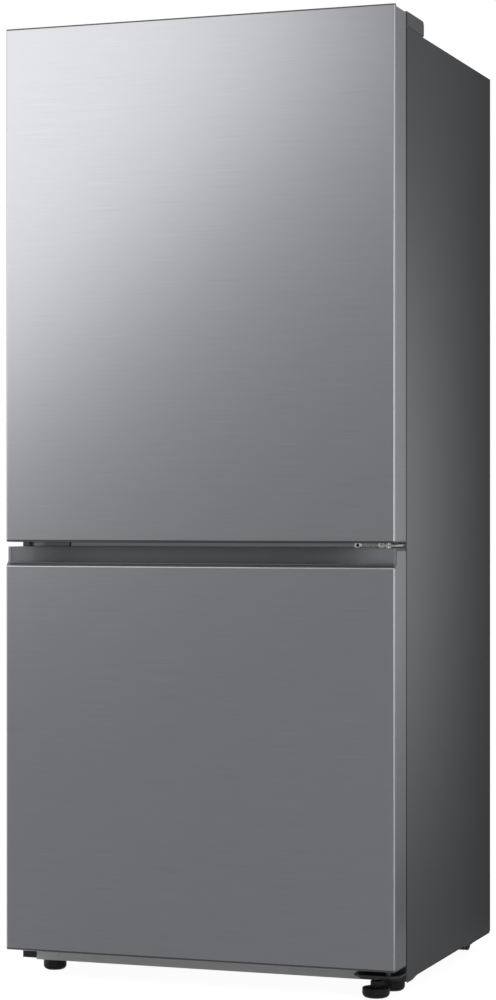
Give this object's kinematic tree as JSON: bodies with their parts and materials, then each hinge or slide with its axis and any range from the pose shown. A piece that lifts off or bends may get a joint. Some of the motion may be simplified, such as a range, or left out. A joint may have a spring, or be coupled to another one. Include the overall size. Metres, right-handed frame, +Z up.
{
  "type": "refrigerator",
  "caption": "Free-standing refrigerator with a fridge door above a freezer door, both hinged on the right, with shelves, bins and drawers inside.",
  "frame": {"origin": "on the floor under the middle of the bounding box", "axes": "+Z up, the doors face -Y, +X to the right of someone facing the doors"},
  "size_m": [0.76, 0.68, 1.78],
  "materials": {
    "steel": "brushed",
    "grey_paint": "satin paint",
    "zinc_sheet": "plain coated sheet",
    "black_steel": "black paint",
    "hinge_steel": "zinc plated",
    "foam": "rigid foam",
    "white_liner": "vacuum formed",
    "grey_plastic": "moulded",
    "black_plastic": "moulded",
    "gasket_rubber": "soft",
    "shelf_glass": "tempered",
    "clear_plastic": "moulded clear",
    "trim_plastic": "moulded",
    "lamp_lens": "opal",
    "bare_aluminium": "mill",
    "black_iron": "black paint",
    "copper": "drawn"
  },
  "bodies": {
    "cabinet": {"outer_case": "grey_paint", "rear_panel": "zinc_sheet", "base_frame": "black_steel", "cabinet_insulation": "foam", "fridge_liner": "white_liner", "freezer_liner": "white_liner", "mullion_cover": "grey_paint", "spare_hinge_caps": "black_plastic", "kick_plate": "grey_paint", "top_hinge": "hinge_steel", "top_hinge_cover": "grey_plastic", "mid_hinge": "hinge_steel", "bottom_hinge": "black_steel", "hinge_screws": "hinge_steel", "rear_roller_brackets": "black_steel", "lower_shelf": "shelf_glass", "upper_shelf": "shelf_glass", "crisper_cover": "shelf_glass", "shelf_trims": "trim_plastic", "fridge_air_duct": "white_liner", "ceiling_lamp": "lamp_lens", "evaporator_cover": "white_liner", "evaporator": "bare_aluminium", "evaporator_fan_motor": "black_plastic", "compressor": "black_iron", "compressor_mounts": "gasket_rubber", "refrigerant_pipes": "copper", "condenser": "bare_aluminium", "condenser_fan_shroud": "black_plastic", "machine_cover": "zinc_sheet", "power_inlet": "gasket_rubber"},
    "upper_door": {"upper_door_skin": "steel", "upper_door_top_cap": "grey_plastic", "upper_door_bottom_cap": "grey_plastic", "upper_door_insulation": "foam", "upper_door_liner": "white_liner", "upper_door_gasket": "gasket_rubber", "upper_door_bushes": "black_plastic", "lower_door_bin": "clear_plastic", "middle_door_bin": "clear_plastic", "upper_door_bin": "clear_plastic"},
    "lower_door": {"lower_door_skin": "steel", "lower_door_grip_cap": "grey_plastic", "lower_door_bottom_cap": "grey_plastic", "lower_door_insulation": "foam", "lower_door_liner": "white_liner", "lower_door_gasket": "gasket_rubber", "lower_door_bushes": "black_plastic"},
    "left_crisper_body": {"left_crisper": "clear_plastic"},
    "right_crisper_body": {"right_crisper": "clear_plastic"},
    "lower_freezer_drawer_body": {"lower_freezer_drawer": "clear_plastic"},
    "middle_freezer_drawer_body": {"middle_freezer_drawer": "clear_plastic"},
    "upper_freezer_drawer_body": {"upper_freezer_drawer": "clear_plastic"},
    "evaporator_fan_body": {"evaporator_fan": "black_plastic"},
    "condenser_fan_body": {"condenser_fan": "black_plastic"},
    "left_front_foot_body": {"left_front_foot": "black_plastic"},
    "right_front_foot_body": {"right_front_foot": "black_plastic"},
    "hinge_leg_foot_body": {"hinge_leg_foot": "black_plastic"},
    "left_rear_roller_body": {"left_rear_roller": "black_plastic"},
    "right_rear_roller_body": {"right_rear_roller": "black_plastic"}
  },
  "joints": [
    {"name": "upper_door_swing", "type": "hinge", "parent": "cabinet", "child": "upper_door", "pos_m": [0.358, -0.307, 0.8193], "axis": [0, 0, 1], "range_deg": [0, 115]},
    {"name": "lower_door_swing", "type": "hinge", "parent": "cabinet", "child": "lower_door", "pos_m": [0.358, -0.307, 0.055], "axis": [0, 0, 1], "range_deg": [0, 115]},
    {"name": "left_crisper_slide", "type": "slide", "parent": "cabinet", "child": "left_crisper_body", "axis": [0, -1, 0], "range_m": [0, 0.225]},
    {"name": "right_crisper_slide", "type": "slide", "parent": "cabinet", "child": "right_crisper_body", "axis": [0, -1, 0], "range_m": [0, 0.225]},
    {"name": "lower_freezer_drawer_slide", "type": "slide", "parent": "cabinet", "child": "lower_freezer_drawer_body", "axis": [0, -1, 0], "range_m": [0, 0.205]},
    {"name": "middle_freezer_drawer_slide", "type": "slide", "parent": "cabinet", "child": "middle_freezer_drawer_body", "axis": [0, -1, 0], "range_m": [0, 0.205]},
    {"name": "upper_freezer_drawer_slide", "type": "slide", "parent": "cabinet", "child": "upper_freezer_drawer_body", "axis": [0, -1, 0], "range_m": [0, 0.205]},
    {"name": "left_front_foot_turn", "type": "hinge", "parent": "cabinet", "child": "left_front_foot_body", "pos_m": [-0.337, -0.208, 0.02], "axis": [0, 0, 1], "continuous": true},
    {"name": "right_front_foot_turn", "type": "hinge", "parent": "cabinet", "child": "right_front_foot_body", "pos_m": [0.337, -0.208, 0.02], "axis": [0, 0, 1], "continuous": true},
    {"name": "hinge_leg_foot_turn", "type": "hinge", "parent": "cabinet", "child": "hinge_leg_foot_body", "pos_m": [0.328, -0.285, 0.02], "axis": [0, 0, 1], "continuous": true},
    {"name": "left_rear_roller_spin", "type": "hinge", "parent": "cabinet", "child": "left_rear_roller_body", "pos_m": [-0.345, 0.265, 0.018], "axis": [1, 0, 0], "continuous": true},
    {"name": "right_rear_roller_spin", "type": "hinge", "parent": "cabinet", "child": "right_rear_roller_body", "pos_m": [0.345, 0.265, 0.018], "axis": [1, 0, 0], "continuous": true},
    {"name": "evaporator_fan_spin", "type": "hinge", "parent": "cabinet", "child": "evaporator_fan_body", "pos_m": [0, 0.214, 0.696], "axis": [0, 1, 0], "continuous": true},
    {"name": "condenser_fan_spin", "type": "hinge", "parent": "cabinet", "child": "condenser_fan_body", "pos_m": [-0.162, 0.2395, 0.112], "axis": [1, 0, 0], "continuous": true}
  ],
  "couplings": [
    {"joint": "left_crisper_slide", "follows": "upper_door_swing", "m_per_rad": 0.11},
    {"joint": "right_crisper_slide", "follows": "upper_door_swing", "m_per_rad": 0.11},
    {"joint": "lower_freezer_drawer_slide", "follows": "lower_door_swing", "m_per_rad": 0.1},
    {"joint": "middle_freezer_drawer_slide", "follows": "lower_door_swing", "m_per_rad": 0.1},
    {"joint": "upper_freezer_drawer_slide", "follows": "lower_door_swing", "m_per_rad": 0.1}
  ]
}
